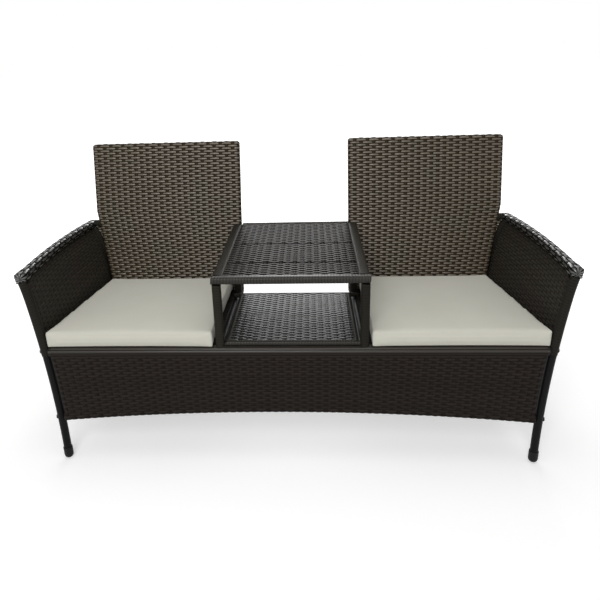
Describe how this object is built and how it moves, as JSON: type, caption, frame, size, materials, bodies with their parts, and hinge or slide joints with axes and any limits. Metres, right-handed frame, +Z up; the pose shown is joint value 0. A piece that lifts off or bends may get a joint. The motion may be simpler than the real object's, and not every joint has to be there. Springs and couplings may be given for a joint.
{
  "type": "garden sofa with tea table",
  "caption": "Woven poly-rattan garden sofa with a built-in tea table and shelf between the seats, raised arms, reclined backs and loose seat cushions.",
  "frame": {"origin": "centre of the footprint on the floor, at the bottom of the bounding box", "axes": "+X to the viewer's right along the length, +Y towards the backs, +Z up"},
  "size_m": [1.443, 0.5882, 0.8299],
  "materials": {
    "frame_steel": "satin powder coat",
    "rattan": "woven flat strip, slight sheen",
    "foot_plastic": "moulded, matte",
    "hardware": "darkened",
    "cushion_fabric": "woven cream polyester",
    "cushion_foam": "open foam"
  },
  "bodies": {
    "frame": {"apron_rail": "frame_steel", "apron_weave": "rattan", "foot_caps": "foot_plastic", "frame_bolts": "hardware", "left_arm_rail": "frame_steel", "left_arm_weave": "rattan", "left_back_bottom_rail": "frame_steel", "left_back_inner_stile": "frame_steel", "left_back_outer_stile": "frame_steel", "left_back_top_rail": "frame_steel", "left_back_weave": "rattan", "left_cross_rail": "frame_steel", "left_front_leg": "frame_steel", "left_lower_side_rail": "frame_steel", "left_pan_rail": "frame_steel", "left_rear_leg": "frame_steel", "left_seat_weave": "rattan", "left_shelf_side_rail": "frame_steel", "left_side_rail": "frame_steel", "left_table_front_post": "frame_steel", "left_table_rear_post": "frame_steel", "left_table_side_rail": "frame_steel", "rail_plugs": "hardware", "rear_lower_rail": "frame_steel", "right_arm_rail": "frame_steel", "right_arm_weave": "rattan", "right_back_bottom_rail": "frame_steel", "right_back_inner_stile": "frame_steel", "right_back_outer_stile": "frame_steel", "right_back_top_rail": "frame_steel", "right_back_weave": "rattan", "right_cross_rail": "frame_steel", "right_front_leg": "frame_steel", "right_lower_side_rail": "frame_steel", "right_pan_rail": "frame_steel", "right_rear_leg": "frame_steel", "right_seat_weave": "rattan", "right_shelf_side_rail": "frame_steel", "right_side_rail": "frame_steel", "right_table_front_post": "frame_steel", "right_table_rear_post": "frame_steel", "right_table_side_rail": "frame_steel", "saddle_washers": "hardware", "seat_front_rail": "frame_steel", "seat_rear_rail": "frame_steel", "shelf_front_rail": "frame_steel", "shelf_rear_rail": "frame_steel", "shelf_weave": "rattan", "table_front_rail": "frame_steel", "table_rear_rail": "frame_steel", "table_support_bars": "frame_steel", "table_top_weave": "rattan"},
    "left_cushion": {"left_cushion_cover": "cushion_fabric", "left_cushion_foam": "cushion_foam"},
    "right_cushion": {"right_cushion_cover": "cushion_fabric", "right_cushion_foam": "cushion_foam"}
  },
  "joints": [
    {"name": "left_cushion_lift", "type": "slide", "parent": "frame", "child": "left_cushion", "axis": [0, 0, 1], "range_m": [0, 0.3]},
    {"name": "right_cushion_lift", "type": "slide", "parent": "frame", "child": "right_cushion", "axis": [0, 0, 1], "range_m": [0, 0.3]}
  ]
}
